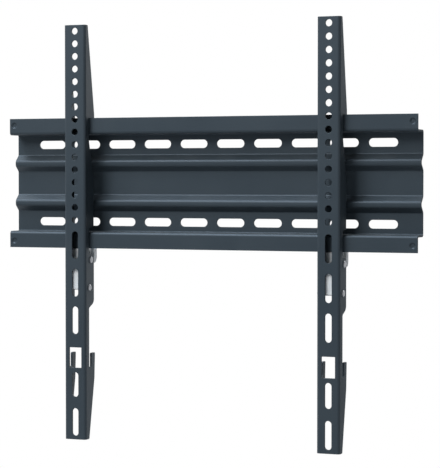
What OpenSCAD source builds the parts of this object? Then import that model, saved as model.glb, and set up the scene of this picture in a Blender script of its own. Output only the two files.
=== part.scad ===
// Low-profile wall mount for a flat television, in millimetres.
// One folded wall plate carries two folded channels. Each channel hooks over the
// plate's upper lip, and a sprung latch in it snaps up behind the lower lip.
// The wall is the plane Y = 0, the television is on the -Y side and +Z is up.
// The origin is the centre of the plate's back face.

/* [Sheet steel] */
// Thickness of the folded sheet
sheet_t = 2; // [1.5:0.1:2.5]
// Inside radius of the folds
fold_r = 1; // [0.6:0.1:2]

/* [Wall plate] */
// Length of the plate along the wall
plate_w = 440; // [410:5:600]
// Height of the plate from lip edge to lip edge
plate_h = 134; // [128:1:150]
// Height of each standing lip, its fold included
lip_h = 17; // [14:0.5:20]
// Distance of the lips' front face from the wall
lip_y = 21; // [19:0.5:23]
// Height of the two pressed ribs above and below the middle
rib_z = 20.5; // [18:0.5:23]
// Width of a rib where it leaves the base
rib_w = 16; // [14:0.5:18]
// Width of a rib's crest before rounding
rib_crest_w = 4; // [3:0.5:5]
// How far a rib stands out of the base
rib_h = 6.5; // [5:0.5:7.5]
// Radius of the rib's folds along the middle of the sheet
rib_r = 3; // [2:0.25:3.5]

/* [Wall slots] */
// Slots in each row
slot_n = 10; // [6:1:10]
// Distance from slot to slot
slot_pitch = 40; // [36:1:42]
// End-to-end length of a wall slot
slot_l = 30; // [20:1:32]
// Width of a wall slot
slot_w = 8.5; // [6.5:0.5:10]
// Distance from a shelf to the middle of its slot row
slot_inset = 10; // [9:0.5:12]

/* [Lip dimples] */
// Diameter of the pressed dimple that stops a bracket at each end of a lip
dimple_d = 6.5; // [5:0.5:7]
// Depth of a dimple
dimple_h = 1.2; // [0.8:0.1:1.5]
// Distance of a dimple from the plate's end
dimple_inset = 5; // [5:0.5:12]
// Distance of a dimple from the lip's edge
dimple_drop = 7; // [5:0.5:8]

/* [Brackets] */
// Length of a bracket
bracket_l = 426; // [415:1:460]
// Outside width of a bracket
bracket_w = 24; // [22:0.5:30]
// Distance of the bracket's front face from the wall
bracket_y = 30; // [29:0.5:34]
// Place of the left bracket's middle along the plate
left_x = -140.5; // [-198:0.5:-40]
// Place of the right bracket's middle along the plate
right_x = 133; // [40:0.5:198]
// Height of the bracket's top above the lip that it hangs on
hook_drop = 95; // [85:0.5:100]
// Depth of the side flanges at the bracket's top
top_d = 6.5; // [5:0.5:8]
// Depth of the side flanges at the hook
hook_d = 21.5; // [20:0.5:24]
// Straight stretch of full depth above the lip
hook_rise = 4; // [2:0.5:8]
// Play of the hook and of the latch's nose on each side of a lip
hook_play = 0.3; // [0.2:0.05:0.5]
// Gap between the hook's tip and the shelf
hook_gap = 1; // [0.5:0.25:3]
// Gap between the shallow flange and the lip's front face
lip_gap = 0.5; // [0.3:0.1:0.8]
// Gap between the deep middle of the flange and the ribs
rib_gap = 2; // [1:0.25:3]
// Distance below the upper shelf where the flange starts to deepen
slant_start = 5; // [4:0.5:8]
// Height of the slanting edge of the flange
slant_h = 40; // [30:1:46]
// Distance above the lower shelf where the deep middle ends
middle_end = 4; // [4:0.5:8]
// Small corner radius of the side flanges
corner_r = 1.2; // [0.6:0.1:1.25]

/* [Bracket holes] */
// Diameter of the round holes
hole_d = 7; // [6:0.25:8.5]
// Distance from hole to hole
hole_pitch = 12.9; // [12.5:0.1:13.2]
// Distance of the first hole from the bracket's top
hole_first = 6.3; // [5.5:0.1:9]
// Round holes in each bracket
hole_n = 16; // [8:1:16]
// Length of a bracket slot
web_slot_l = 28.5; // [20:0.5:29]
// Length of the slot next below the window
short_slot_l = 25.5; // [20:0.5:26]
// Distance of that slot's middle below the slit's floor
short_slot_drop = 17.3; // [15:0.1:19]
// Distance of the lowest slot's middle from the bracket's lower end
foot_slot_rise = 18; // [17:0.5:22]
// Width of a bracket slot
web_slot_w = 7; // [6:0.25:8.5]
// Width of the rectangular window
window_w = 14; // [10:0.5:15]
// Height of the window above the slit in the side flange
window_rise = 6.5; // [3:0.5:7]

/* [Latch lobe and foot] */
// Gap between the lower lip's edge and the lobe
lobe_gap = 5.5; // [4:0.5:7]
// Height of the lobe
lobe_h = 56; // [49:0.5:60]
// How much higher the lobe's lower corner lies at its back
lobe_slope = 5; // [0:0.5:8]
// Depth of the lobe
lobe_d = 20; // [19.5:0.5:21]
// Corner radius of the lobe
lobe_r = 6; // [2:0.5:6]
// Distance of the foot's tip from the bracket's top
foot_s = 337.5; // [325:0.5:340]
// Depth of the slit behind the foot's tip
slit_h = 14.5; // [8:0.5:18]
// Width of the slit
slit_w = 5.5; // [2:0.25:7]
// Flange depth at the foot's tip
foot_d = 22.2; // [18:0.1:24]
// Flange depth at the heel, where the foot starts to narrow
heel_d = 20.9; // [17:0.1:23]
// Distance of the heel below the slit's floor
heel_drop = 12; // [4:0.5:15]
// Flange depth at the bracket's lower end
toe_d = 8.5; // [5:0.5:10]

/* [Latch] */
// Travel of the latch when it is pulled down
latch_travel = 7; // [5:0.25:7.25]
// How far the latch ends clear of the lip when it is pulled down
release_gap = 0.4; // [0.2:0.1:1]
// Play between the latch and the channel's sides
latch_play = 0.3; // [0.2:0.05:0.5]
// Play between the latch and the channel's front wall
latch_front_play = 0.6; // [0.5:0.05:1]
// Distance of the latch's back from the wall
latch_y = 3; // [1:0.25:4]
// Flat top of the nose behind the lip
nose_flat = 3; // [2:0.25:5]
// Drop of the nose's ramp from front to back
nose_ramp = 6; // [4:0.25:6.5]
// Height of the latch's head from the nose's top
head_h = 22; // [19:0.5:24]
// Corner radius at the head's lower back
head_r = 6; // [2:0.25:6]
// Distance of the latch's neck from the wall
neck_y = 22.5; // [21.75:0.25:24]
// Height of the neck
neck_h = 16; // [11:0.5:16]
// Length of the latch below the lip's edge
latch_tail = 42.5; // [42:0.25:46]
// Height of the spring's pocket in the latch
pocket_h = 24; // [20:0.25:25]
// Diameter of the spring's pocket
pocket_d = 8; // [7.8:0.1:9]

/* [Pins and springs] */
// Diameter of the guide pin
guide_d = 5.5; // [4:0.1:5.6]
// Distance of the guide pin from the wall
guide_y = 17.5; // [16:0.25:17.75]
// Distance of the guide pin below the lip's edge
guide_drop = 12; // [12:0.25:13]
// Diameter of the guide pin's heads
guide_head_d = 6.5; // [6.2:0.1:8]
// Diameter of the spring pin
spring_pin_d = 5; // [4:0.1:5.5]
// Distance of the spring pin from the wall
spring_pin_y = 21; // [20:0.25:21.25]
// Distance of the spring pin below the lip's edge
spring_pin_drop = 40.5; // [40:0.25:43]
// Diameter of the spring pin's heads
spring_pin_head_d = 6.2; // [6:0.1:7]
// Thickness of the pins' riveted heads
pin_head_t = 1.5; // [0.4:0.1:2]
// Share of a head's thickness that its crown takes
pin_crown = 0.4; // [0.3:0.1:0.8]
// Play between a pin and its hole in the bracket
pin_play = 0.05; // [0.02:0.01:0.1]
// Play between a pin and its slot in the latch
pin_slot_play = 0.3; // [0.2:0.05:0.5]
// Outside diameter of the spring
spring_d = 7.2; // [6:0.1:7.4]
// Diameter of the spring's wire
wire_d = 0.7; // [0.5:0.05:0.9]
// Turns of the spring
spring_turns = 7; // [5:1:8]
// Gap at each end of the spring
spring_end_gap = 0.1; // [0.05:0.05:0.3]

/* [Hidden] */

// Colours of the finishes
coat_color = [0.25, 0.29, 0.33];
latch_color = [0.80, 0.82, 0.84];
zinc_color = [0.70, 0.71, 0.72];

// Smoothness of folds, rounded corners, holes and the spring
bend_steps = 6;
hole_fn = 48;
wire_sides = 6;
steps_per_turn = 14;
// How far a cutting tool runs past the faces that it cuts
over = 1;
// How deep a raised form starts inside the sheet that carries it
sink = 0.2;

// Plate: edge of the lips, outer face of the shelves, rows of slots
lip_edge_z = plate_h / 2;
shelf_z = lip_edge_z - lip_h;
slot_z = shelf_z - slot_inset;
// Radius of a fold along the middle of the sheet
mid_fold_r = fold_r + sheet_t / 2;
// How fast the diameter of a dimple narrows with its depth
dimple_slope = 2.4;

// Bracket: distances from the wall of the flange's edges
shallow_y = lip_y + lip_gap;
middle_y = sheet_t + rib_h + rib_gap;
lobe_y = bracket_y - lobe_d;
hook_y = bracket_y - hook_d;
tongue_y = lip_y - sheet_t - hook_play;
// Bracket: heights
top_z = lip_edge_z + hook_drop;
bottom_z = top_z - bracket_l;
lobe_top_z = -lip_edge_z - lobe_gap;
lobe_bottom_z = lobe_top_z - lobe_h;
foot_z = top_z - foot_s;
slit_z = foot_z - slit_h;
// Places on the hole grid, counted from the first hole, that carry a slot
slot_places = [17, 20, 23];

// Pins
guide_z = -lip_edge_z - guide_drop;
spring_pin_z = -lip_edge_z - spring_pin_drop;

// Latch
nose_z = -lip_edge_z - release_gap + latch_travel;
latch_front_y = bracket_y - sheet_t - latch_front_play;
latch_core_y = lobe_y + latch_play;
latch_core_w = bracket_w - 2 * sheet_t - 2 * latch_play;
latch_foot_z = -lip_edge_z - latch_tail;
pocket_z = latch_foot_z + pocket_h;
shoulder_z = -lip_edge_z - release_gap;

// Spring, between the spring pin and the pocket's roof
spring_low_z = spring_pin_z + spring_pin_d / 2 + spring_end_gap;
spring_high_z = pocket_z - spring_end_gap;

// Direction of the step from point a to point b
function along(a, b) = (b - a) / norm(b - a);

// Arc that rounds the corner b of the way a, b, c. The way keeps the radius r
// at the corner, and the arc is drawn at the distance side to the way's left.
function corner(a, b, c, r, side) =
    let (
        u = along(a, b),
        v = along(b, c),
        turn = atan2(u[0] * v[1] - u[1] * v[0], u[0] * v[0] + u[1] * v[1]),
        hand = sign(turn),
        cut = r * tan(abs(turn) / 2),
        centre = b - cut * u + hand * r * [-u[1], u[0]],
        start = atan2(u[1], u[0]) - hand * 90,
        arc_r = r - hand * side
    )
    [for (i = [0 : bend_steps])
        let (angle = start + turn * i / bend_steps)
        centre + arc_r * [cos(angle), sin(angle)]];

// One face of a folded sheet: the way's points, each inner one with its own
// fold radius, moved sideways by the distance side
function sheet_face(way, radii, side) =
    let (
        last = len(way) - 1,
        u = along(way[0], way[1]),
        v = along(way[last - 1], way[last])
    )
    concat(
        [way[0] + side * [-u[1], u[0]]],
        [for (i = [1 : last - 1])
            each corner(way[i - 1], way[i], way[i + 1], radii[i - 1], side)],
        [way[last] + side * [-v[1], v[0]]]
    );

// Points of a list from last to first
function backwards(list) = [for (i = [len(list) - 1 : -1 : 0]) list[i]];

// Cross-section of a folded sheet along a way through the middle of the sheet
function sheet_section(way, radii, t) =
    concat(sheet_face(way, radii, t / 2), backwards(sheet_face(way, radii, -t / 2)));

// Closed outline with rounded corners, from points of the form [x, y, radius]
function rounded(points) =
    let (n = len(points))
    [for (i = [0 : n - 1])
        let (
            a = points[(i + n - 1) % n],
            b = points[i],
            c = points[(i + 1) % n]
        )
        each b[2] > 0
            ? corner([a[0], a[1]], [b[0], b[1]], [c[0], c[1]], b[2], 0)
            : [[b[0], b[1]]]];

// Solid of an outline in Y and Z, centred on X
module across(width) {
    rotate([90, 0, 90])
        linear_extrude(height = width, center = true)
            children();
}

// Round cutter or pin along Y, from y_low to y_high
module along_y(d, y_low, y_high) {
    translate([0, y_high, 0])
        rotate([90, 0, 0])
            cylinder(d = d, h = y_high - y_low, $fn = hole_fn);
}

// Round cutter or pin along X, centred
module along_x(d, length) {
    rotate([0, 90, 0])
        cylinder(d = d, h = length, center = true, $fn = hole_fn);
}

// Cutter of a slot with round ends that runs along X
module slot_cut(length, width, y_low, y_high) {
    reach = (length - width) / 2;
    for (side = [-1, 1])
        translate([side * reach, 0, 0])
            along_y(width, y_low, y_high);
    translate([-reach, y_low, -width / 2])
        cube([2 * reach, y_high - y_low, width]);
}

// Way through the middle of the plate's sheet, from the upper lip to the middle
function plate_half_way(side) = [
    [-(lip_y - sheet_t / 2), side * lip_edge_z],
    [-(lip_y - sheet_t / 2), side * (shelf_z + sheet_t / 2)],
    [-sheet_t / 2, side * (shelf_z + sheet_t / 2)],
    [-sheet_t / 2, side * (rib_z + rib_w / 2)],
    [-sheet_t / 2 - rib_h, side * (rib_z + rib_crest_w / 2)],
    [-sheet_t / 2 - rib_h, side * (rib_z - rib_crest_w / 2)],
    [-sheet_t / 2, side * (rib_z - rib_w / 2)]
];
plate_half_radii = [mid_fold_r, mid_fold_r, rib_r, rib_r, rib_r, rib_r];

module wall_plate() {
    color(coat_color)
        difference() {
            union() {
                across(plate_w)
                    polygon(sheet_section(
                        concat(plate_half_way(1), backwards(plate_half_way(-1))),
                        concat(plate_half_radii, backwards(plate_half_radii)),
                        sheet_t));
                at_dimples()
                    dimple_cone(dimple_d + dimple_slope * sheet_t / 2, -lip_y + sheet_t, dimple_h, sink);
            }
            for (side = [-1, 1], i = [0 : slot_n - 1])
                translate([(i - (slot_n - 1) / 2) * slot_pitch, 0, side * slot_z])
                    slot_cut(slot_l, slot_w, -sheet_t - over, over);
            at_dimples()
                dimple_cone(dimple_d, -lip_y, dimple_h, over);
        }
}

// Places its children at the four ends of the lips
module at_dimples() {
    for (side = [-1, 1], end = [-1, 1])
        translate([end * (plate_w / 2 - dimple_inset), 0, side * (lip_edge_z - dimple_drop)])
            children();
}

// Cone of a dimple: wide across at the face at y, and narrower towards the wall.
// It also runs past that face, away from the wall, with the same slope.
module dimple_cone(wide, y, depth, past) {
    tip_d = wide - dimple_slope * depth;
    root_d = wide + dimple_slope * past;
    translate([0, y + depth, 0])
        rotate([90, 0, 0])
            cylinder(d1 = tip_d, d2 = root_d, h = depth + past, $fn = hole_fn);
}

// Section of the folded channel, seen from above
module channel_section() {
    side_x = bracket_w / 2 - sheet_t / 2;
    front_y = -bracket_y + sheet_t / 2;
    polygon(sheet_section(
        [[-side_x, 0], [-side_x, front_y], [side_x, front_y], [side_x, 0]],
        [mid_fold_r, mid_fold_r],
        sheet_t));
}

// Outline of a side flange: the hook, the slanting middle, the lobe and the foot
module flange_outline() {
    polygon(rounded([
        [-bracket_y, bottom_z, 0],
        [-bracket_y, top_z, 0],
        [-bracket_y + top_d, top_z, corner_r],
        [-hook_y, lip_edge_z + hook_rise, 2 * corner_r],
        [-hook_y, shelf_z + sheet_t + hook_gap, 2 * corner_r],
        [-tongue_y, shelf_z + sheet_t + hook_gap, corner_r],
        [-tongue_y, lip_edge_z, 0],
        [-lip_y - hook_play, lip_edge_z, 0],
        [-lip_y - hook_play, shelf_z + sheet_t + hook_gap, 0],
        [-shallow_y, shelf_z + sheet_t, 0],
        [-shallow_y, shelf_z - slant_start, 2 * corner_r],
        [-middle_y, shelf_z - slant_start - slant_h, 2 * corner_r],
        [-middle_y, -shelf_z + middle_end, 2 * corner_r],
        [-shallow_y, -shelf_z + middle_end, corner_r],
        [-shallow_y, lobe_top_z, corner_r],
        [-lobe_y, lobe_top_z, lobe_r],
        [-lobe_y, lobe_bottom_z + lobe_slope, lobe_r],
        [-shallow_y, lobe_bottom_z, 2 * corner_r],
        [-shallow_y, slit_z, corner_r],
        [-shallow_y + slit_w, slit_z, corner_r],
        [-shallow_y + slit_w, foot_z, corner_r],
        [-bracket_y + foot_d, foot_z, corner_r],
        [-bracket_y + heel_d, slit_z - heel_drop, 2 * corner_r],
        [-bracket_y + toe_d, bottom_z, corner_r]
    ]));
}

// Holes, slots and window in the front wall
module web_cuts() {
    low_y = -bracket_y - over;
    high_y = -bracket_y + sheet_t + over;
    for (i = [0 : hole_n - 1])
        translate([0, 0, top_z - hole_first - i * hole_pitch])
            along_y(hole_d, low_y, high_y);
    long_slots = [
        bottom_z + foot_slot_rise,
        for (place = slot_places) top_z - hole_first - place * hole_pitch
    ];
    for (z = long_slots)
        translate([0, 0, z])
            rotate([0, 90, 0])
                slot_cut(web_slot_l, web_slot_w, low_y, high_y);
    translate([0, 0, slit_z - short_slot_drop])
        rotate([0, 90, 0])
            slot_cut(short_slot_l, web_slot_w, low_y, high_y);
    translate([-window_w / 2, low_y, slit_z])
        cube([window_w, high_y - low_y, slit_h + window_rise]);
}

module bracket() {
    color(coat_color)
        difference() {
            intersection() {
                translate([0, 0, bottom_z])
                    linear_extrude(height = bracket_l)
                        channel_section();
                across(bracket_w + 2 * over)
                    flange_outline();
            }
            web_cuts();
            translate([0, -guide_y, guide_z])
                along_x(guide_d + 2 * pin_play, bracket_w + 2 * over);
            translate([0, -spring_pin_y, spring_pin_z])
                along_x(spring_pin_d + 2 * pin_play, bracket_w + 2 * over);
        }
}

// Part of the latch that slides between the channel's sides
module latch_core() {
    across(latch_core_w)
        polygon(rounded([
            [-latch_front_y, latch_foot_z, corner_r],
            [-latch_front_y, shoulder_z - neck_h, corner_r],
            [-neck_y, shoulder_z - neck_h, corner_r],
            [-neck_y, shoulder_z, corner_r],
            [-tongue_y, shoulder_z, 0],
            [-tongue_y, nose_z, corner_r],
            [-tongue_y + nose_flat, nose_z, corner_r],
            [-latch_y, nose_z - nose_ramp, corner_r],
            [-latch_y, nose_z - head_h, head_r],
            [-latch_core_y, nose_z - head_h, 0],
            [-latch_core_y, latch_foot_z, 2 * corner_r]
        ]));
}

// Wider head of the latch, behind the channel's flanges
module latch_head() {
    head_front_y = lobe_y - latch_play;
    across(bracket_w)
        intersection() {
            polygon(rounded([
                [-tongue_y, nose_z, corner_r],
                [-tongue_y + nose_flat, nose_z, corner_r],
                [-latch_y, nose_z - nose_ramp, corner_r],
                [-latch_y, nose_z - head_h, head_r],
                [-tongue_y, nose_z - head_h, 0]
            ]));
            translate([-head_front_y, nose_z - head_h - over])
                square([head_front_y, head_h + 2 * over]);
        }
}

// Slot in the latch that lets it travel down past a fixed pin
module pin_slot(d, length) {
    along_x(d, bracket_w + 2 * over);
    translate([0, 0, length])
        along_x(d, bracket_w + 2 * over);
    translate([-bracket_w / 2 - over, -d / 2, 0])
        cube([bracket_w + 2 * over, d, length]);
}

module latch() {
    color(latch_color)
        difference() {
            union() {
                latch_core();
                latch_head();
            }
            translate([0, -guide_y, guide_z])
                pin_slot(guide_d + 2 * pin_slot_play, latch_travel);
            translate([0, -spring_pin_y, spring_pin_z - latch_travel])
                pin_slot(spring_pin_d + 2 * pin_slot_play, 2 * latch_travel);
            translate([0, -spring_pin_y, latch_foot_z - over])
                cylinder(d = pocket_d, h = pocket_h + over, $fn = hole_fn);
        }
}

// Pin through both flanges, with a riveted head on each outer face.
// Each head has a straight rim and a crown that narrows to the pin's diameter.
module riveted_pin(d, head_d) {
    rim_t = pin_head_t * (1 - pin_crown);
    color(zinc_color) {
        along_x(d, bracket_w + 2 * rim_t);
        for (side = [-1, 1])
            rotate([0, side * 90, 0])
                translate([0, 0, bracket_w / 2]) {
                    cylinder(d = head_d, h = rim_t, $fn = hole_fn);
                    translate([0, 0, rim_t])
                        cylinder(d1 = head_d, d2 = d, h = pin_head_t - rim_t, $fn = hole_fn);
                }
    }
}

module guide_pin() {
    translate([0, -guide_y, guide_z])
        riveted_pin(guide_d, guide_head_d);
}

module spring_pin() {
    translate([0, -spring_pin_y, spring_pin_z])
        riveted_pin(spring_pin_d, spring_pin_head_d);
}

// Ring of wire points at the angle a round the spring's axis
function wire_ring(a, z, coil_r) =
    [for (k = [0 : wire_sides - 1])
        let (
            b = 360 * k / wire_sides,
            r = coil_r + wire_d / 2 * cos(b)
        )
        [r * cos(a), r * sin(a), z + wire_d / 2 * sin(b)]];

module latch_spring() {
    coil_r = (spring_d - wire_d) / 2;
    rings = spring_turns * steps_per_turn;
    low = spring_low_z + wire_d / 2;
    high = spring_high_z - wire_d / 2;
    points = [for (i = [0 : rings])
        each wire_ring(360 * i / steps_per_turn, low + (high - low) * i / rings, coil_r)];
    sides = [for (i = [0 : rings - 1], k = [0 : wire_sides - 1])
        let (
            next = (k + 1) % wire_sides,
            ring = i * wire_sides
        )
        each [
            [ring + k, ring + wire_sides + k, ring + next],
            [ring + next, ring + wire_sides + k, ring + wire_sides + next]
        ]];
    start_cap = [for (k = [0 : wire_sides - 1]) k];
    end_cap = [for (k = [wire_sides - 1 : -1 : 0]) rings * wire_sides + k];
    color(zinc_color)
        translate([0, -spring_pin_y, 0])
            polyhedron(points, concat(sides, [start_cap, end_cap]), convexity = 8);
}

module left_bracket() {
    translate([left_x, 0, 0]) bracket();
}

module right_bracket() {
    translate([right_x, 0, 0]) bracket();
}

module left_latch() {
    translate([left_x, 0, 0]) latch();
}

module right_latch() {
    translate([right_x, 0, 0]) latch();
}

module left_guide_pin() {
    translate([left_x, 0, 0]) guide_pin();
}

module right_guide_pin() {
    translate([right_x, 0, 0]) guide_pin();
}

module left_spring_pin() {
    translate([left_x, 0, 0]) spring_pin();
}

module right_spring_pin() {
    translate([right_x, 0, 0]) spring_pin();
}

module left_latch_spring() {
    translate([left_x, 0, 0]) latch_spring();
}

module right_latch_spring() {
    translate([right_x, 0, 0]) latch_spring();
}

wall_plate();
left_bracket();
right_bracket();
left_latch();
right_latch();
left_guide_pin();
right_guide_pin();
left_spring_pin();
right_spring_pin();
left_latch_spring();
right_latch_spring();
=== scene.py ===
"""Finishes, springs, light and camera for a flat wall mount for a television set.

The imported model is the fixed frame, in metres: X runs along the wall plate, +Y into the wall
and +Z up, from the centre of the plate's back face. The plate and its two hook-on brackets
carry a dark slate powder coat, the spring latches are moulded in a pale plastic, the rivets
are zinc plated and the coil springs are drawn steel wire.
"""

from __future__ import annotations

import logging
import math
from dataclasses import dataclass, field
from enum import Enum
from typing import Any, Callable

import bmesh
import bpy
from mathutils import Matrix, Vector


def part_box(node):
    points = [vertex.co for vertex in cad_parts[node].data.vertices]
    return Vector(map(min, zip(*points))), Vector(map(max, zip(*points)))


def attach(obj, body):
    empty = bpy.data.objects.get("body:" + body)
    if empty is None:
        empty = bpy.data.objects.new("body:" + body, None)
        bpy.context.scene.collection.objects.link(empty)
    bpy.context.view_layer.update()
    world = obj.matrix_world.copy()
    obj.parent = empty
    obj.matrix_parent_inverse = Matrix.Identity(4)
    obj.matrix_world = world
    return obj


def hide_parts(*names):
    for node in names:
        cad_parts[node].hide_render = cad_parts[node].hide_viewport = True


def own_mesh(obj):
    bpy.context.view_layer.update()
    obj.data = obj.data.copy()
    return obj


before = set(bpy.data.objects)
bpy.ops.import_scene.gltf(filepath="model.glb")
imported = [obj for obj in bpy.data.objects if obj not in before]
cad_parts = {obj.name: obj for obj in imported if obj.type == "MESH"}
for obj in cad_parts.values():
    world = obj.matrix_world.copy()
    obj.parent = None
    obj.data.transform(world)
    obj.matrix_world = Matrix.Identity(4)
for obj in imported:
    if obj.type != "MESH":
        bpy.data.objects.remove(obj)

LOG = logging.getLogger("wall_mount")
Colour = tuple[float, float, float]
Point = tuple[float, float, float]
Socket = bpy.types.NodeSocket
WHOLE = (0.0, 1.0)


class Side(Enum):
    """The side of the wall plate that a bracket hangs on, seen from the room."""

    LEFT = "left"
    RIGHT = "right"


class Slot(Enum):
    """The record's material slots."""

    COAT = "coat"
    LATCH = "latch"
    ZINC = "zinc"
    WIRE = "spring_wire"


class NodeBoard:
    """Adds and joins the nodes of one material or group."""

    def __init__(self, tree: bpy.types.NodeTree) -> None:
        """Starts on an empty tree.

        Args:
            tree: The node tree, whose nodes are cleared.
        """
        self.tree = tree
        tree.nodes.clear()

    def add(
        self, kind: str, inputs: dict[Any, Any] | None = None, **settings: Any
    ) -> bpy.types.Node:
        """Adds a node.

        Args:
            kind: The node's type name.
            inputs: Values or sockets for its inputs, by name or number.
            **settings: Properties of the node itself.

        Returns:
            The new node.
        """
        node = self.tree.nodes.new(kind)
        for name, value in settings.items():
            setattr(node, name, value)
        for name, value in (inputs or {}).items():
            self.feed(value, node.inputs[name])
        return node

    def feed(self, value: Any, socket: Socket) -> None:
        """Links a socket, or writes a constant, into an input.

        Args:
            value: A socket to link from, or the constant.
            socket: The input that takes it.
        """
        if isinstance(value, Socket):
            self.tree.links.new(value, socket)
        else:
            socket.default_value = value

    def math(self, operation: str, *values: Any, clamp: bool = False) -> Socket:
        """Adds a Math node.

        Args:
            operation: The node's operation.
            *values: Its inputs, as sockets or numbers.
            clamp: Keeps the result between 0 and 1.

        Returns:
            The node's value.
        """
        inputs = dict(enumerate(values))
        return self.add("ShaderNodeMath", inputs, operation=operation, use_clamp=clamp).outputs[0]

    def part(self, mask: Any, share: float) -> Socket:
        """Returns a share of a mask."""
        return self.math("MULTIPLY", mask, share)

    def span(self, value: Any, start: tuple[float, float], end: tuple[float, float]) -> Socket:
        """Maps a value smoothly from one span to another.

        Args:
            value: The value to map.
            start: The span that it comes from.
            end: The span that it goes to.

        Returns:
            The mapped value.
        """
        inputs = dict(enumerate((value, *start, *end)))
        return self.add("ShaderNodeMapRange", inputs, interpolation_type="SMOOTHSTEP").outputs[0]

    def blend(self, amount: Any, first: Any, second: Any) -> Socket:
        """Mixes two colours.

        Args:
            amount: Share of the second colour.
            first: The first colour.
            second: The second colour.

        Returns:
            The mixed colour.
        """
        inputs = {0: amount, 6: first, 7: second}
        return self.add("ShaderNodeMix", inputs, data_type="RGBA").outputs[2]

    def place(self) -> Socket:
        """Returns the point on the piece, in metres, which moves with the piece."""
        return self.add("ShaderNodeTexCoord").outputs["Object"]

    def noise(self, scale: Any, detail: float, **inputs: float) -> Socket:
        """Adds a noise over the piece.

        Args:
            scale: Its scale, for metres.
            detail: Its detail.
            **inputs: The noise's other inputs.

        Returns:
            The noise's value.
        """
        given = {"Vector": self.place(), "Scale": scale, "Detail": detail, **inputs}
        return self.add("ShaderNodeTexNoise", given).outputs["Fac"]

    def grain(
        self, height: Socket, depth: float, strength: float, normal: Socket | None = None
    ) -> Socket:
        """Raises a grain from the surface.

        Args:
            height: The grain's height, from 0 to 1.
            depth: Its depth in metres.
            strength: The share of it that shows.
            normal: The normal of the surface below it.

        Returns:
            The grain's normal.
        """
        inputs = {"Strength": strength, "Distance": depth, "Height": height}
        if normal is not None:
            inputs["Normal"] = normal
        return self.add("ShaderNodeBump", inputs).outputs[0]

    def finish(self, kind: str, inputs: dict[str, Any]) -> None:
        """Adds the shader of a material and joins it to the surface.

        Args:
            kind: The shader's type name.
            inputs: Values or sockets for its inputs, by name.
        """
        shader = self.add(kind, inputs)
        self.add("ShaderNodeOutputMaterial", {"Surface": shader.outputs[0]})


def rgba(colour: Colour) -> tuple[float, float, float, float]:
    """Returns a colour with full opacity."""
    return (*colour, 1.0)


@dataclass(frozen=True)
class Effect:
    """A surface effect that several finishes share, kept as one node group."""

    name: str
    inputs: tuple[tuple[str, str], ...]
    outputs: tuple[tuple[str, str], ...]
    draw: Callable[[NodeBoard, Any], dict[str, Socket]]

    def group(self) -> bpy.types.NodeTree:
        """Builds the node group at its first use.

        Returns:
            The node group.
        """
        known = bpy.data.node_groups.get(self.name)
        if known is not None:
            return known
        tree = bpy.data.node_groups.new(self.name, "ShaderNodeTree")
        for direction, sockets in (("INPUT", self.inputs), ("OUTPUT", self.outputs)):
            for name, kind in sockets:
                tree.interface.new_socket(name, in_out=direction, socket_type=kind)
        board = NodeBoard(tree)
        given = board.add("NodeGroupInput")
        board.add("NodeGroupOutput", self.draw(board, given.outputs))
        return tree

    def on(self, board: NodeBoard, **values: Any) -> Any:
        """Places the effect in a material.

        Args:
            board: The material's board.
            **values: Its inputs, with an underscore for each space.

        Returns:
            The outputs of the placed group.
        """
        node = board.add("ShaderNodeGroup", node_tree=self.group())
        for name, value in values.items():
            board.feed(value, node.inputs[name.replace("_", " ")])
        return node.outputs


FLOAT = "NodeSocketFloat"
COLOUR = "NodeSocketColor"
VECTOR = "NodeSocketVector"


def draw_fine_grain(board: NodeBoard, given: Any) -> dict[str, Socket]:
    """Draws the cured pebble texture of a coat or of an eroded mould.

    Args:
        board: The group's board.
        given: The group's inputs.

    Returns:
        Height and Fleck.
    """
    dome_share = 0.65
    fine_ratio = 2.3
    fleck_band = (0.58, 0.72)
    pebbles = board.add(
        "ShaderNodeTexVoronoi",
        {"Vector": board.place(), "Scale": given["Scale"], "Randomness": 1.0, "Smoothness": 0.8},
        feature="SMOOTH_F1",
    ).outputs["Distance"]
    domes = board.math("SUBTRACT", 1.0, pebbles)
    fine = board.noise(board.part(given["Scale"], fine_ratio), 3.0, Roughness=0.6)
    height = board.math("ADD", board.part(domes, dome_share), board.part(fine, 1.0 - dome_share))
    return {"Height": height, "Fleck": board.span(fine, fleck_band, WHOLE)}


def draw_slow_tone(board: NodeBoard, given: Any) -> dict[str, Socket]:
    """Draws the slow drift of tone over a sprayed, plated or moulded surface.

    Args:
        board: The group's board.
        given: The group's inputs.

    Returns:
        Colour and Tone.
    """
    drift_band = (0.3, 0.7)
    broad = board.noise(given["Scale"], 2.5, Roughness=0.5, Distortion=0.3)
    tone = board.span(broad, drift_band, WHOLE)
    return {"Colour": board.blend(tone, given["Dark"], given["Light"]), "Tone": tone}


def draw_edge_wear(board: NodeBoard, given: Any) -> dict[str, Socket]:
    """Draws the eased edges of a part and the thin, rubbed coat along them.

    Args:
        board: The group's board.
        given: The group's inputs.

    Returns:
        Mask and Normal.
    """
    edge_cosines = (0.995, 0.86)
    patch_band = (0.35, 0.65)
    patch_share = (0.25, 1.0)
    eased = board.add("ShaderNodeBevel", {"Radius": given["Ease"]}, samples=6).outputs[0]
    flat = board.add("ShaderNodeNewGeometry").outputs["Normal"]
    turn = board.add("ShaderNodeVectorMath", {0: eased, 1: flat}, operation="DOT_PRODUCT")
    edge = board.span(turn.outputs["Value"], edge_cosines, WHOLE)
    patches = board.noise(given["Patch Scale"], 3.0)
    rubbed = board.span(patches, patch_band, patch_share)
    return {"Mask": board.math("MULTIPLY", edge, rubbed, clamp=True), "Normal": eased}


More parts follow.
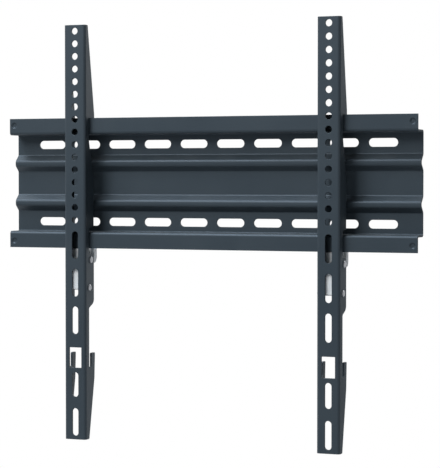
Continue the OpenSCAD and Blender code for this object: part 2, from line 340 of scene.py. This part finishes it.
def draw_dust_and_top_light(board: NodeBoard, given: Any) -> dict[str, Socket]:
    """Draws the thin dust that settles on faces that look up; on the dark coat its pale colour
    also paints light from above onto them.

    Args:
        board: The group's board.
        given: The group's inputs.

    Returns:
        Mask.
    """
    level_band = (0.55, 0.98)
    drift_band = (0.35, 0.7)
    drift_share = (0.15, 1.0)
    flat = board.add("ShaderNodeNewGeometry").outputs["Normal"]
    up = board.add("ShaderNodeSeparateXYZ", {0: flat}).outputs["Z"]
    shelf = board.span(up, level_band, WHOLE)
    drift = board.noise(given["Scale"], 5.0, Roughness=0.65)
    uneven = board.span(drift, drift_band, drift_share)
    lying = board.math("MULTIPLY", shelf, uneven)
    return {"Mask": board.math("MULTIPLY", lying, given["Amount"], clamp=True)}


FINE_GRAIN = Effect(
    "fine_grain",
    (("Scale", FLOAT),),
    (("Height", FLOAT), ("Fleck", FLOAT)),
    draw_fine_grain,
)
SLOW_TONE = Effect(
    "slow_tone",
    (("Scale", FLOAT), ("Dark", COLOUR), ("Light", COLOUR)),
    (("Colour", COLOUR), ("Tone", FLOAT)),
    draw_slow_tone,
)
EDGE_WEAR = Effect(
    "edge_wear",
    (("Ease", FLOAT), ("Patch Scale", FLOAT)),
    (("Mask", FLOAT), ("Normal", VECTOR)),
    draw_edge_wear,
)
DUST_AND_TOP_LIGHT = Effect(
    "settled_dust_and_top_light",
    (("Scale", FLOAT), ("Amount", FLOAT)),
    (("Mask", FLOAT),),
    draw_dust_and_top_light,
)


def new_board(name: str) -> tuple[bpy.types.Material, NodeBoard]:
    """Makes an empty node material.

    Args:
        name: The material's name.

    Returns:
        The material and its board.
    """
    material = bpy.data.materials.new(name)
    material.use_nodes = True
    return material, NodeBoard(material.node_tree)


@dataclass(frozen=True)
class PowderCoat:
    """Dark slate powder coat, satin with a fine pebbled texture."""

    name: str = "slate_powder_coat"
    dark: Colour = (0.0275, 0.0385, 0.0480)
    light: Colour = (0.0325, 0.0440, 0.0535)
    tone_scale: float = 14.0
    rubbed: Colour = (0.062, 0.088, 0.113)
    fleck_share: float = 0.25
    wear_share: float = 0.35
    wear_scale: float = 60.0
    edge_ease: float = 0.0005
    # Pale colour on faces that look up: partly dust, partly painted light from above that
    # lightens the dark coat there.
    dust_and_top_light: Colour = (0.20, 0.21, 0.21)
    dust_and_top_light_scale: float = 45.0
    dust_and_top_light_amount: float = 0.16
    roughness: float = 0.37
    tone_roughness: float = 0.05
    dust_roughness: float = 0.9
    wear_polish: float = 0.08
    grazing_span: tuple[float, float] = (0.45, 0.75)
    grazing_scatter: float = 0.34
    sheen: Colour = (0.66, 0.82, 1.0)
    sheen_level: float = 0.32
    grain_scale: float = 1150.0
    grain_depth: float = 0.00006
    grain_strength: float = 0.55

    def material(self) -> bpy.types.Material:
        """Builds the coat, whose pebbles scatter its sheen at a grazing look.

        Returns:
            The coat's material.
        """
        material, board = new_board(self.name)
        tone = SLOW_TONE.on(
            board, Scale=self.tone_scale, Dark=rgba(self.dark), Light=rgba(self.light)
        )
        grain = FINE_GRAIN.on(board, Scale=self.grain_scale)
        wear = EDGE_WEAR.on(board, Ease=self.edge_ease, Patch_Scale=self.wear_scale)
        dust_and_top_light = DUST_AND_TOP_LIGHT.on(board, Scale=self.dust_and_top_light_scale, Amount=self.dust_and_top_light_amount)
        fleck = board.part(grain["Fleck"], self.fleck_share)
        flecked = board.blend(fleck, tone["Colour"], rgba(self.rubbed))
        worn = board.blend(board.part(wear["Mask"], self.wear_share), flecked, rgba(self.rubbed))
        satin = board.math("ADD", self.roughness, board.part(tone["Tone"], self.tone_roughness))
        dusty = board.math("ADD", satin, board.part(dust_and_top_light["Mask"], self.dust_roughness))
        handled = board.math("SUBTRACT", dusty, board.part(wear["Mask"], self.wear_polish))
        facing = board.add("ShaderNodeLayerWeight", {"Blend": 0.5}).outputs["Facing"]
        scatter = board.span(facing, self.grazing_span, (0.0, self.grazing_scatter))
        board.finish(
            "ShaderNodeBsdfPrincipled",
            {
                # Painted light: faces that look up are lightened towards the pale dust colour,
                # partly real dust and partly painted light from above.
                "Base Color": board.blend(dust_and_top_light["Mask"], worn, rgba(self.dust_and_top_light)),
                "Roughness": board.math("ADD", handled, scatter, clamp=True),
                "Normal": board.grain(
                    grain["Height"], self.grain_depth, self.grain_strength, wear["Normal"]
                ),
                "Specular IOR Level": self.sheen_level,
                "Specular Tint": rgba(self.sheen),
            },
        )
        return material


@dataclass(frozen=True)
class MouldedPlastic:
    """Pale moulded plastic with an eroded mould texture and faint flow marks."""

    name: str = "pale_moulded_plastic"
    dark: Colour = (0.70, 0.745, 0.775)
    light: Colour = (0.77, 0.815, 0.845)
    tone_scale: float = 70.0
    polished: Colour = (0.82, 0.85, 0.87)
    wear_share: float = 0.4
    wear_scale: float = 140.0
    edge_ease: float = 0.0004
    dust_and_top_light: Colour = (0.45, 0.45, 0.44)
    dust_and_top_light_scale: float = 120.0
    dust_and_top_light_amount: float = 0.14
    roughness: float = 0.42
    tone_roughness: float = 0.08
    wear_polish: float = 0.12
    glow_weight: float = 0.35
    glow_radius: Colour = (1.0, 0.95, 0.9)
    glow_depth: float = 0.004
    grain_scale: float = 1500.0
    grain_depth: float = 0.00003
    grain_strength: float = 0.4

    def material(self) -> bpy.types.Material:
        """Builds the plastic, which lets a little light in.

        Returns:
            The plastic's material.
        """
        material, board = new_board(self.name)
        tone = SLOW_TONE.on(
            board, Scale=self.tone_scale, Dark=rgba(self.dark), Light=rgba(self.light)
        )
        grain = FINE_GRAIN.on(board, Scale=self.grain_scale)
        wear = EDGE_WEAR.on(board, Ease=self.edge_ease, Patch_Scale=self.wear_scale)
        dust_and_top_light = DUST_AND_TOP_LIGHT.on(board, Scale=self.dust_and_top_light_scale, Amount=self.dust_and_top_light_amount)
        rub = board.part(wear["Mask"], self.wear_share)
        handled = board.blend(rub, tone["Colour"], rgba(self.polished))
        matt = board.math("ADD", self.roughness, board.part(tone["Tone"], self.tone_roughness))
        polish = board.part(wear["Mask"], self.wear_polish)
        board.finish(
            "ShaderNodeBsdfPrincipled",
            {
                "Base Color": board.blend(dust_and_top_light["Mask"], handled, rgba(self.dust_and_top_light)),
                "Roughness": board.math("SUBTRACT", matt, polish, clamp=True),
                "Normal": board.grain(
                    grain["Height"], self.grain_depth, self.grain_strength, wear["Normal"]
                ),
                "Subsurface Weight": self.glow_weight,
                "Subsurface Radius": self.glow_radius,
                "Subsurface Scale": self.glow_depth,
            },
        )
        return material


@dataclass(frozen=True)
class ZincPlate:
    """Bright zinc plating over a cold-headed rivet."""

    name: str = "bright_zinc"
    dark: Colour = (0.22, 0.23, 0.25)
    light: Colour = (0.33, 0.34, 0.36)
    tone_scale: float = 260.0
    bruised: Colour = (0.62, 0.63, 0.64)
    wear_share: float = 0.6
    wear_scale: float = 300.0
    edge_ease: float = 0.00025
    roughness: float = 0.30
    tone_roughness: float = 0.14
    wear_polish: float = 0.1
    grain_scale: float = 1900.0
    grain_depth: float = 0.00003
    grain_strength: float = 0.35

    def material(self) -> bpy.types.Material:
        """Builds the plating, which is cloudy in patches and bright on its edges.

        Returns:
            The plating's material.
        """
        material, board = new_board(self.name)
        tone = SLOW_TONE.on(
            board, Scale=self.tone_scale, Dark=rgba(self.dark), Light=rgba(self.light)
        )
        grain = FINE_GRAIN.on(board, Scale=self.grain_scale)
        wear = EDGE_WEAR.on(board, Ease=self.edge_ease, Patch_Scale=self.wear_scale)
        rub = board.part(wear["Mask"], self.wear_share)
        cloudy = board.math("ADD", self.roughness, board.part(tone["Tone"], self.tone_roughness))
        polish = board.part(wear["Mask"], self.wear_polish)
        board.finish(
            "ShaderNodeBsdfPrincipled",
            {
                "Base Color": board.blend(rub, tone["Colour"], rgba(self.bruised)),
                "Roughness": board.math("SUBTRACT", cloudy, polish, clamp=True),
                "Normal": board.grain(
                    grain["Height"], self.grain_depth, self.grain_strength, wear["Normal"]
                ),
                "Metallic": 1.0,
            },
        )
        return material


@dataclass(frozen=True)
class DrawnWire:
    """Drawn spring steel with a light film of oil."""

    name: str = "drawn_spring_wire"
    dark: Colour = (0.33, 0.34, 0.36)
    light: Colour = (0.52, 0.53, 0.55)
    tone_scale: float = 420.0
    roughness: float = 0.27
    tone_roughness: float = 0.12
    grain_scale: float = 2600.0
    grain_depth: float = 0.00002
    grain_strength: float = 0.3

    def material(self) -> bpy.types.Material:
        """Builds the wire's steel.

        Returns:
            The wire's material.
        """
        material, board = new_board(self.name)
        tone = SLOW_TONE.on(
            board, Scale=self.tone_scale, Dark=rgba(self.dark), Light=rgba(self.light)
        )
        grain = FINE_GRAIN.on(board, Scale=self.grain_scale)
        oily = board.math("ADD", self.roughness, board.part(tone["Tone"], self.tone_roughness))
        board.finish(
            "ShaderNodeBsdfPrincipled",
            {
                "Base Color": tone["Colour"],
                "Roughness": oily,
                "Normal": board.grain(grain["Height"], self.grain_depth, self.grain_strength),
                "Metallic": 1.0,
            },
        )
        return material


@dataclass(frozen=True)
class PaleFloor:
    """Pale studio floor that runs out into white and keeps a soft shadow near the object."""

    name: str = "pale_floor"
    colour: Colour = (0.82, 0.82, 0.82)
    speck: Colour = (0.7, 0.7, 0.7)
    speck_share: float = 0.04
    speck_scale: float = 30.0
    roughness: float = 0.6
    lift: float = 0.30
    fade: tuple[float, float] = (0.5, 1.3)

    def material(self) -> bpy.types.Material:
        """Builds the floor's surface, which is clear from below.

        Returns:
            The floor's material.
        """
        material, board = new_board(self.name)
        seen = seen_directly(board)
        away = board.add("ShaderNodeVectorMath", {0: board.place()}, operation="LENGTH")
        fade = board.span(away.outputs["Value"], self.fade, WHOLE)
        specks = board.part(board.noise(self.speck_scale, 4.0), self.speck_share)
        tint = board.blend(specks, rgba(self.colour), rgba(self.speck))
        matt = board.add("ShaderNodeBsdfDiffuse", {"Color": tint, "Roughness": self.roughness})
        lifted = board.add("ShaderNodeEmission", {"Strength": board.part(seen, self.lift)})
        near = board.add("ShaderNodeAddShader", {0: matt.outputs[0], 1: lifted.outputs[0]})
        white = board.add("ShaderNodeEmission", {"Strength": seen})
        top = board.add("ShaderNodeMixShader", {0: fade, 1: near.outputs[0], 2: white.outputs[0]})
        below = board.add("ShaderNodeNewGeometry").outputs["Backfacing"]
        clear = board.add("ShaderNodeBsdfTransparent")
        board.finish("ShaderNodeMixShader", {0: below, 1: top.outputs[0], 2: clear.outputs[0]})
        return material


def seen_directly(board: NodeBoard) -> Socket:
    """Tells a ray from the camera, a mirror or through glass from one that lights the object.

    Args:
        board: The board that takes the Light Path node.

    Returns:
        1 on a ray that is seen, and 0 on a ray that lights the object.
    """
    path = board.add("ShaderNodeLightPath").outputs
    mirrored = board.math("MAXIMUM", path["Is Camera Ray"], path["Is Glossy Ray"])
    return board.math("MAXIMUM", mirrored, path["Is Transmission Ray"])


@dataclass
class Finishes:
    """One material for each slot of the record."""

    coat: PowderCoat = field(default_factory=PowderCoat)
    plastic: MouldedPlastic = field(default_factory=MouldedPlastic)
    zinc: ZincPlate = field(default_factory=ZincPlate)
    wire: DrawnWire = field(default_factory=DrawnWire)
    made: dict[Slot, bpy.types.Material] = field(default_factory=dict)

    def build(self) -> None:
        """Builds the materials."""
        self.made = {
            Slot.COAT: self.coat.material(),
            Slot.LATCH: self.plastic.material(),
            Slot.ZINC: self.zinc.material(),
            Slot.WIRE: self.wire.material(),
        }

    def paint(self, node: str, slot: Slot) -> None:
        """Gives a node of the frame its finish.

        Args:
            node: The node's name.
            slot: The slot whose material it takes.
        """
        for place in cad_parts[node].material_slots:
            place.material = self.made[slot]
        LOG.info("%s takes %s", node, self.made[slot].name)


@dataclass
class WallPlate:
    """The ribbed steel plate that is screwed to the wall."""

    node: str = "wall_plate"

    def dress(self, finishes: Finishes) -> None:
        """Coats the plate with its finish."""
        finishes.paint(self.node, Slot.COAT)


@dataclass
class HookBracket:
    """A slotted channel that is screwed to the set and hooks over the plate's top lip."""

    side: Side

    def dress(self, finishes: Finishes) -> None:
        """Coats the channel and plates its two rivets.

        Args:
            finishes: The materials.
        """
        finishes.paint(f"{self.side.value}_bracket", Slot.COAT)
        finishes.paint(f"{self.side.value}_guide_pin", Slot.ZINC)
        finishes.paint(f"{self.side.value}_spring_pin", Slot.ZINC)


@dataclass
class CoilSpring:
    """The compression spring that lifts a latch: a round wire with closed ends."""

    side: Side
    wire_d: float = 0.0007
    turns: float = 7.0
    closed_turns: float = 0.9
    closed_pitch: float = 1.03
    steps_per_turn: int = 40
    wire_sides: int = 14
    squeezed_share: float = 0.637

    @property
    def node(self) -> str:
        """Returns the name of the frame's spring."""
        return f"{self.side.value}_latch_spring"

    def rise(self, turn: float, height: float) -> float:
        """Gives the height of the wire's centre over its start.

        Args:
            turn: Turns from the lower end.
            height: The whole rise of the wire's centre.

        Returns:
            The height in metres, which grows slowly in the closed turns at both ends.
        """
        closed = self.closed_turns
        tight = self.wire_d * self.closed_pitch
        if turn <= closed:
            return turn * tight
        if turn > self.turns - closed:
            return height - (self.turns - turn) * tight
        slope = (height - 2 * closed * tight) / (self.turns - 2 * closed)
        return closed * tight + (turn - closed) * slope

    def wire_ring(self, turn: float, radius: float, height: float) -> list[Vector]:
        """Gives the points round the wire at one place along it.

        Args:
            turn: Turns from the lower end.
            radius: Radius of the coil, to the wire's centre.
            height: The whole rise of the wire's centre.

        Returns:
            The ring's points, from the centre of the coil's lower end.
        """
        angle = 2 * math.pi * turn
        out = Vector((math.cos(angle), math.sin(angle), 0.0))
        up = Vector((0.0, 0.0, 1.0))
        wire_r = self.wire_d / 2
        centre = out * radius + up * (wire_r + self.rise(turn, height))
        around = [2 * math.pi * k / self.wire_sides for k in range(self.wire_sides)]
        return [centre + wire_r * (math.cos(a) * out + math.sin(a) * up) for a in around]

    def wind(self, radius: float, height: float) -> bpy.types.Mesh:
        """Winds the wire.

        Args:
            radius: Radius of the coil, to the wire's centre.
            height: The whole rise of the wire's centre.

        Returns:
            The mesh, from the centre of the coil's lower end.
        """
        build = bmesh.new()
        before: list[bmesh.types.BMVert] = []
        for i in range(int(self.turns * self.steps_per_turn) + 1):
            points = self.wire_ring(i / self.steps_per_turn, radius, height)
            ring = [build.verts.new(point) for point in points]
            if before:
                for k in range(self.wire_sides):
                    n = (k + 1) % self.wire_sides
                    build.faces.new((before[k], ring[k], ring[n], before[n])).smooth = True
            else:
                build.faces.new(ring)
            before = ring
        build.faces.new(list(reversed(before)))
        bmesh.ops.recalc_face_normals(build, faces=build.faces)
        mesh = bpy.data.meshes.new(f"{self.side.value}_coil_spring")
        build.to_mesh(mesh)
        build.free()
        return mesh

    def build(self) -> bpy.types.Object:
        """Winds the spring in the place of the frame's one.

        Returns:
            The spring's object.
        """
        low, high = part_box(self.node)
        centre = Vector(((low.x + high.x) / 2, (low.y + high.y) / 2, low.z))
        mesh = self.wind((high.x - low.x - self.wire_d) / 2, high.z - low.z - self.wire_d)
        for vertex in mesh.vertices:
            vertex.co += centre
        spring = bpy.data.objects.new(mesh.name, mesh)
        bpy.context.scene.collection.objects.link(spring)
        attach(spring, "mount")
        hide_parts(self.node)
        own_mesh(spring)
        LOG.info("%s wound in place of %s", spring.name, self.node)
        return spring


@dataclass
class SpringLatch:
    """The moulded latch that slides in a bracket and stands behind the plate's bottom lip."""

    side: Side

    def build(self) -> bpy.types.Object:
        """Winds the latch's spring and returns its object."""
        return CoilSpring(self.side).build()

    def dress(self, finishes: Finishes, spring: bpy.types.Object) -> None:
        """Gives the latch its plastic and the spring its steel.

        Args:
            finishes: The materials.
            spring: The spring's object.
        """
        finishes.paint(f"{self.side.value}_latch", Slot.LATCH)
        spring.data.materials.append(finishes.made[Slot.WIRE])


@dataclass(frozen=True)
class Lamp:
    """A square soft box."""

    name: str
    place: Point
    watts: float
    colour: Colour = (1.0, 1.0, 1.0)
    side: float = 1.2

    def build(self, target: Vector) -> None:
        """Hangs the lamp and turns it to the object.

        Args:
            target: The point that it looks at.
        """
        light = bpy.data.lights.new(self.name, "AREA")
        light.shape = "SQUARE"
        light.size = self.side
        light.energy = self.watts
        light.color = self.colour
        lamp = bpy.data.objects.new(self.name, light)
        lamp.location = self.place
        lamp.rotation_euler = (target - Vector(self.place)).to_track_quat("-Z", "Y").to_euler()
        bpy.context.scene.collection.objects.link(lamp)


@dataclass
class Studio:
    """Camera, floor, soft light and the white around the object."""

    lens: float = 140.2
    sensor: float = 36.0
    camera_place: Point = (0.68468, -1.71668, 0.00379)
    camera_turn: float = 0.3755
    camera_dip: float = 0.0299
    floor_z: float = -0.62
    floor_radius: float = 4.0
    floor_sides: int = 96
    backdrop: Colour = (1.0, 1.0, 1.0)
    ambient: float = 0.08
    target: Point = (0.0, 0.0, -0.05)
    lamps: tuple[Lamp, ...] = (
        Lamp("key_box", (-0.887, -0.693, 2.076), 47.0, (0.85, 0.92, 1.0)),
        Lamp("front_left_box", (-0.840, -1.722, 1.394), 44.0, (1.0, 0.975, 0.96)),
        Lamp("rear_box", (0.700, 1.900, 1.200), 18.0),
    )

    def build(self) -> None:
        """Builds the whole studio."""
        self.build_camera()
        self.build_floor()
        self.build_world()
        for lamp in self.lamps:
            lamp.build(Vector(self.target))
        bpy.context.scene.view_settings.view_transform = "Standard"
        LOG.info("studio built with %d lamps", len(self.lamps))

    def build_camera(self) -> None:
        """Sets the camera at the photograph's place."""
        camera = bpy.data.cameras.new("studio_camera")
        camera.sensor_width = self.sensor
        camera.lens = self.lens
        holder = bpy.data.objects.new("studio_camera", camera)
        holder.location = self.camera_place
        holder.rotation_euler = (math.pi / 2 - self.camera_dip, 0.0, self.camera_turn)
        bpy.context.scene.collection.objects.link(holder)
        bpy.context.scene.camera = holder

    def build_floor(self) -> None:
        """Lays a round floor under the object."""
        mesh = bpy.data.meshes.new("studio_floor")
        build = bmesh.new()
        bmesh.ops.create_circle(
            build, cap_ends=True, segments=self.floor_sides, radius=self.floor_radius
        )
        build.to_mesh(mesh)
        build.free()
        floor = bpy.data.objects.new("studio_floor", mesh)
        floor.location = (0.0, 0.0, self.floor_z)
        floor.data.materials.append(PaleFloor().material())
        bpy.context.scene.collection.objects.link(floor)

    def build_world(self) -> None:
        """Surrounds the object with white that lights it at a plain level."""
        world = bpy.data.worlds.new("studio_white")
        world.use_nodes = True
        board = NodeBoard(world.node_tree)
        strength = board.math("MAXIMUM", seen_directly(board), self.ambient)
        white = {"Color": rgba(self.backdrop), "Strength": strength}
        back = board.add("ShaderNodeBackground", white)
        board.add("ShaderNodeOutputWorld", {"Surface": back.outputs[0]})
        bpy.context.scene.world = world


def main() -> None:
    """Builds the studio and the finishes, then dresses each part of the mount."""
    logging.basicConfig(level=logging.INFO, format="%(name)s: %(message)s")
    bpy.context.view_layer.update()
    Studio().build()
    finishes = Finishes()
    finishes.build()
    WallPlate().dress(finishes)
    for side in Side:
        HookBracket(side).dress(finishes)
        latch = SpringLatch(side)
        latch.dress(finishes, latch.build())


if __name__ == "__main__":
    main()
